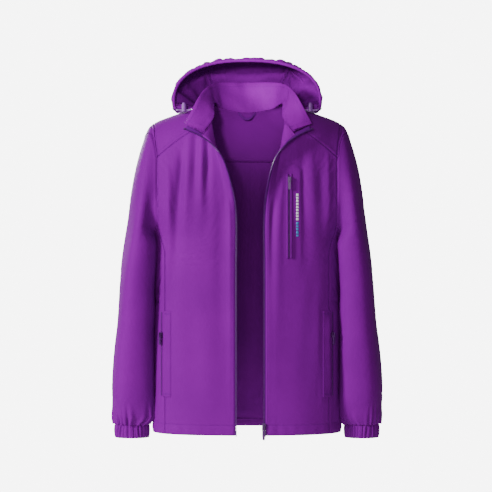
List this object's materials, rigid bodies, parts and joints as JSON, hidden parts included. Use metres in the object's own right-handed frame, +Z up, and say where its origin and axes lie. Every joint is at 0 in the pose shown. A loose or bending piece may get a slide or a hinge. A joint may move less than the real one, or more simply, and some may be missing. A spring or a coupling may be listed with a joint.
{
  "type": "hooded shell jacket",
  "caption": "Hooded zip jacket in light purple cloth, hanging open, with gathered cuffs, side pockets, chest pocket and drawcord hood.",
  "frame": {"origin": "the hang loop, at the middle of the back neck seam", "axes": "+Z up towards the hood, -Y out of the front, +X to the wearer's left"},
  "size_m": [0.5468, 0.2919, 0.7768],
  "materials": {
    "shell_fabric": "matte",
    "inner_fabric": "matte",
    "tape_fabric": "matte",
    "elastic": "matte",
    "cord": "matte",
    "zip_plastic": "matte",
    "zip_metal": "satin",
    "lock_plastic": "matte"
  },
  "bodies": {
    "root": {"back_panel": "shell_fabric", "back_yoke": "shell_fabric", "chest_pocket_bag": "inner_fabric", "chest_zip_coil": "zip_plastic", "collar": "shell_fabric", "collar_facing": "inner_fabric", "front_facing_left": "inner_fabric", "front_facing_right": "inner_fabric", "front_panel_left": "shell_fabric", "front_panel_right": "shell_fabric", "hand_pocket_bag_left": "inner_fabric", "hand_pocket_bag_right": "inner_fabric", "hand_welt_left": "shell_fabric", "hand_welt_right": "shell_fabric", "hand_zip_coil_left": "zip_plastic", "hand_zip_coil_right": "zip_plastic", "hang_loop": "tape_fabric", "hem_facing": "inner_fabric", "shoulder_yoke_left": "shell_fabric", "shoulder_yoke_right": "shell_fabric", "side_panel_left": "shell_fabric", "side_panel_right": "shell_fabric", "sleeve_cap_left": "shell_fabric", "sleeve_cap_right": "shell_fabric", "sleeve_top_left": "shell_fabric", "sleeve_top_right": "shell_fabric", "zip_insert_pin": "zip_plastic", "zip_retainer_box": "zip_plastic", "zip_tape_left": "tape_fabric", "zip_tape_right": "tape_fabric", "zip_teeth_left": "zip_plastic", "zip_teeth_right": "zip_plastic", "zip_top_stop_left": "zip_metal", "zip_top_stop_right": "zip_metal"},
    "sleeve_right_arm": {"sleeve_right": "shell_fabric", "cuff_right": "shell_fabric", "cuff_elastic_right": "elastic"},
    "sleeve_left_arm": {"sleeve_left": "shell_fabric", "cuff_left": "shell_fabric", "cuff_elastic_left": "elastic"},
    "hood": {"hood_side_right": "shell_fabric", "hood_side_left": "shell_fabric", "hood_centre": "shell_fabric", "hood_hem": "shell_fabric", "hood_drawcord": "cord", "cord_lock_body_right": "lock_plastic", "cord_lock_body_left": "lock_plastic"},
    "chest_zip_puller_body": {"chest_zip_puller": "zip_metal"},
    "chest_zip_slider_body": {"chest_zip_slider": "zip_metal"},
    "cord_lock_button_left_body": {"cord_lock_button_left": "lock_plastic"},
    "cord_lock_button_right_body": {"cord_lock_button_right": "lock_plastic"},
    "hand_zip_puller_left_body": {"hand_zip_puller_left": "zip_metal"},
    "hand_zip_puller_right_body": {"hand_zip_puller_right": "zip_metal"},
    "hand_zip_slider_left_body": {"hand_zip_slider_left": "zip_metal"},
    "hand_zip_slider_right_body": {"hand_zip_slider_right": "zip_metal"},
    "zip_puller_body": {"zip_puller": "zip_metal"},
    "zip_slider_body": {"zip_slider": "zip_metal"}
  },
  "joints": [
    {"name": "sleeve_right_swing", "type": "hinge", "parent": "root", "child": "sleeve_right_arm", "pos_m": [-0.2478, -0.05804, -0.27], "axis": [0, 1, 0], "range_deg": [0, 30]},
    {"name": "sleeve_left_swing", "type": "hinge", "parent": "root", "child": "sleeve_left_arm", "pos_m": [0.2478, -0.05804, -0.27], "axis": [0, -1, 0], "range_deg": [0, 30]},
    {"name": "hood_fold_back", "type": "hinge", "parent": "root", "child": "hood", "pos_m": [0, 0.003, 0.002], "axis": [-1, 0, 0], "range_deg": [0, 45]},
    {"name": "cord_lock_press_right", "type": "slide", "parent": "hood", "child": "cord_lock_button_right_body", "axis": [0, 0, -1], "range_m": [0, 0.002], "stiffness_N_per_m": 200, "springref_m": -0.001},
    {"name": "cord_lock_press_left", "type": "slide", "parent": "hood", "child": "cord_lock_button_left_body", "axis": [0, 0, -1], "range_m": [0, 0.002], "stiffness_N_per_m": 200, "springref_m": -0.001},
    {"name": "zip_slider_travel", "type": "slide", "parent": "root", "child": "zip_slider_body", "axis": [0, 0, 1], "range_m": [0, 0.29]},
    {"name": "zip_puller_swing", "type": "hinge", "parent": "zip_slider_body", "child": "zip_puller_body", "pos_m": [0.03305, -0.1556, -0.6345], "axis": [-1, 0, 0], "range_deg": [0, 110]},
    {"name": "hand_zip_travel_right", "type": "slide", "parent": "root", "child": "hand_zip_slider_right_body", "axis": [0, 0, 1], "range_m": [-0.115, 0.04]},
    {"name": "hand_zip_puller_swing_right", "type": "hinge", "parent": "hand_zip_slider_right_body", "child": "hand_zip_puller_right_body", "pos_m": [-0.17487, -0.11472, -0.454], "axis": [-0.6975, 0.7166, 0], "range_deg": [0, 110]},
    {"name": "hand_zip_travel_left", "type": "slide", "parent": "root", "child": "hand_zip_slider_left_body", "axis": [0, 0, 1], "range_m": [-0.115, 0.04]},
    {"name": "hand_zip_puller_swing_left", "type": "hinge", "parent": "hand_zip_slider_left_body", "child": "hand_zip_puller_left_body", "pos_m": [0.17487, -0.11472, -0.454], "axis": [-0.6975, -0.7166, 0], "range_deg": [0, 110]},
    {"name": "chest_zip_travel", "type": "slide", "parent": "root", "child": "chest_zip_slider_body", "axis": [0, 0, 1], "range_m": [-0.148, 0.002]},
    {"name": "chest_zip_puller_swing", "type": "hinge", "parent": "chest_zip_slider_body", "child": "chest_zip_puller_body", "pos_m": [0.084, -0.15555, -0.144], "axis": [-1, 0, 0], "range_deg": [0, 110]}
  ]
}
